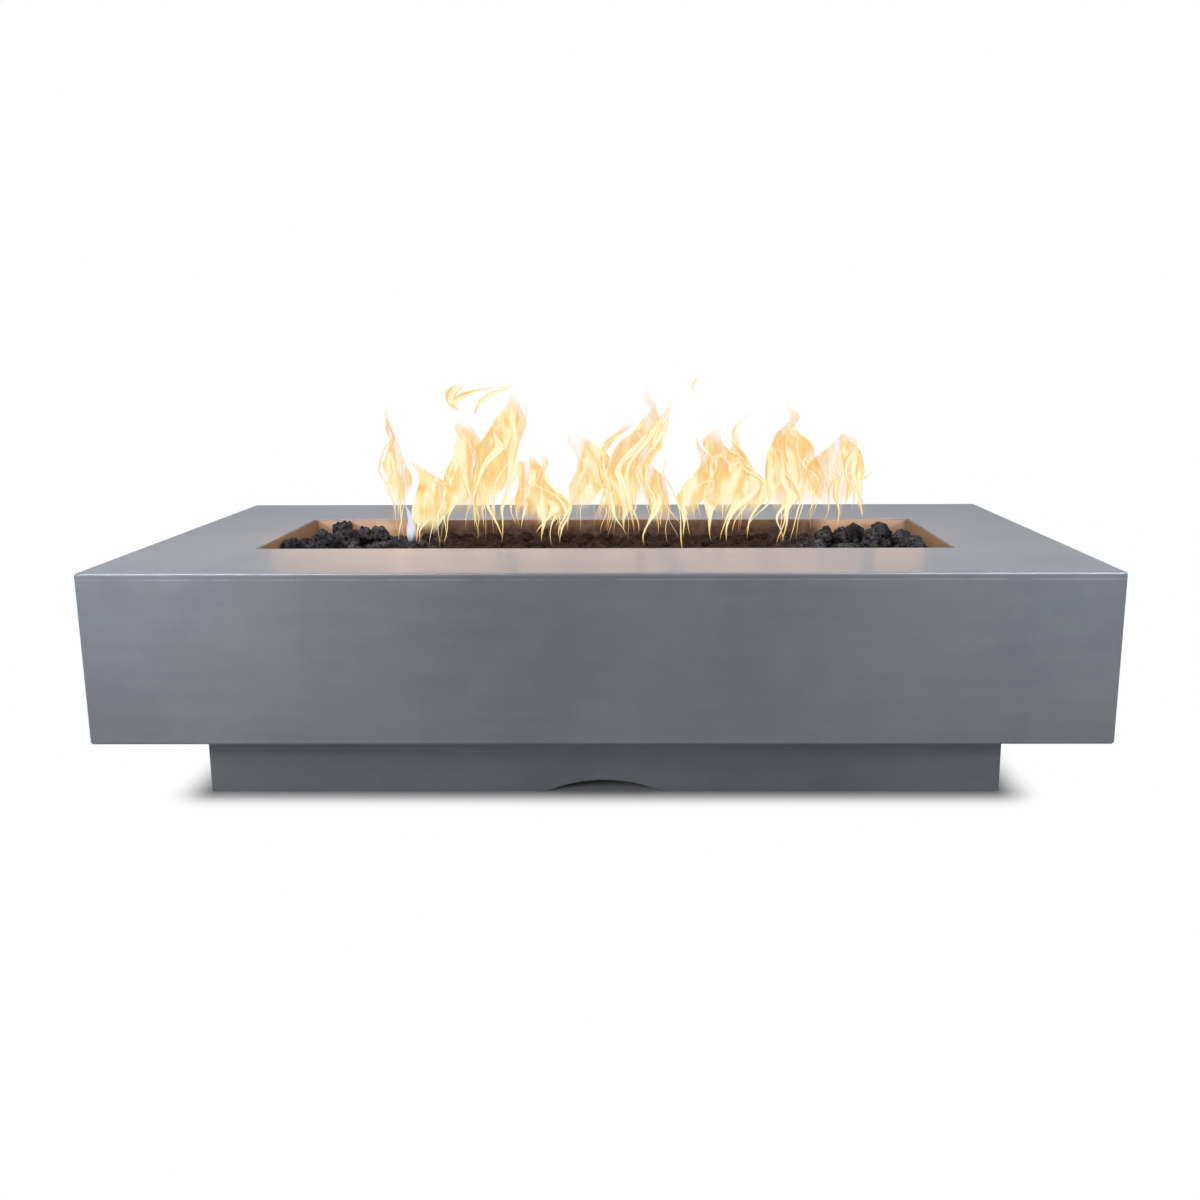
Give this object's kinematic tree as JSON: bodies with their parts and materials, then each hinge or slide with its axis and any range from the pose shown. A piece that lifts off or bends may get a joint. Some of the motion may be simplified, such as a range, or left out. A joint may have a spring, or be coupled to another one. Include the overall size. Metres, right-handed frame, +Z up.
{
  "type": "fire pit table",
  "caption": "Low rectangular gas fire pit table: cast concrete top with a deep apron on a recessed plinth, and a long lined fire opening with burner and lava rock.",
  "frame": {"origin": "middle of the footprint, on the ground under the plinth", "axes": "+X to the right along the table as seen from the front, +Z up, -Y towards the front"},
  "size_m": [1.524, 0.813, 0.381],
  "materials": {
    "cast_concrete": "satin",
    "tan_liner_coating": "satin",
    "lava_rock": "matte",
    "stainless_steel": "satin",
    "zinc_plated_steel": "satin",
    "brass": "satin",
    "aluminium_tube": "satin",
    "cast_aluminium": "matte",
    "black_plastic": "satin",
    "battery_jacket": "gloss",
    "white_ceramic": "satin",
    "red_silicone": "matte",
    "copper_lead": "satin"
  },
  "bodies": {
    "table": {"tabletop_shell": "cast_concrete", "base_plinth": "cast_concrete", "burner_pan": "stainless_steel", "burner_rail_front": "stainless_steel", "burner_rail_back": "stainless_steel", "burner_crossbar": "stainless_steel", "burner_hub": "stainless_steel", "burner_end_caps": "stainless_steel", "burner_feet": "stainless_steel", "control_box": "stainless_steel", "sensor_bracket": "stainless_steel", "sensor_hood": "stainless_steel", "spark_electrode": "stainless_steel", "thermocouple_probe": "stainless_steel", "stem_spring": "stainless_steel", "igniter_spring": "stainless_steel", "mounting_brackets": "zinc_plated_steel", "bracket_bolts": "zinc_plated_steel", "threaded_inserts": "zinc_plated_steel", "control_box_screws": "zinc_plated_steel", "control_box_inserts": "zinc_plated_steel", "valve_screws": "zinc_plated_steel", "inlet_nipple": "zinc_plated_steel", "pan_locknuts": "zinc_plated_steel", "air_mixer": "brass", "inlet_elbow": "brass", "supply_tube_nuts": "brass", "valve_inlet_fitting": "brass", "fire_opening_liner": "tan_liner_coating", "supply_tube": "aluminium_tube", "gas_valve_body": "cast_aluminium", "igniter_housing": "black_plastic", "igniter_nut": "black_plastic", "lead_clip": "black_plastic", "igniter_battery": "battery_jacket", "electrode_insulator": "white_ceramic", "igniter_lead": "red_silicone", "thermocouple_lead": "copper_lead", "lava_rock_bed": "lava_rock", "lava_rocks": "lava_rock"},
    "valve_plunger": {"valve_push_pin": "stainless_steel"},
    "control_knob": {"control_knob": "black_plastic", "valve_stem": "stainless_steel"},
    "igniter_button": {"igniter_button": "stainless_steel"}
  },
  "joints": [
    {"name": "knob_push", "type": "slide", "parent": "table", "child": "valve_plunger", "axis": [-1, 0, 0], "range_m": [0, 0.004], "stiffness_N_per_m": 700, "springref_m": -0.004, "deforming": ["stem_spring"]},
    {"name": "knob_turn", "type": "hinge", "parent": "valve_plunger", "child": "control_knob", "pos_m": [0.7, -0.038, 0.235], "axis": [1, 0, 0], "range_deg": [0, 180]},
    {"name": "igniter_press", "type": "slide", "parent": "table", "child": "igniter_button", "axis": [-1, 0, 0], "range_m": [0, 0.004], "stiffness_N_per_m": 600, "springref_m": -0.004, "deforming": ["igniter_spring"]}
  ]
}
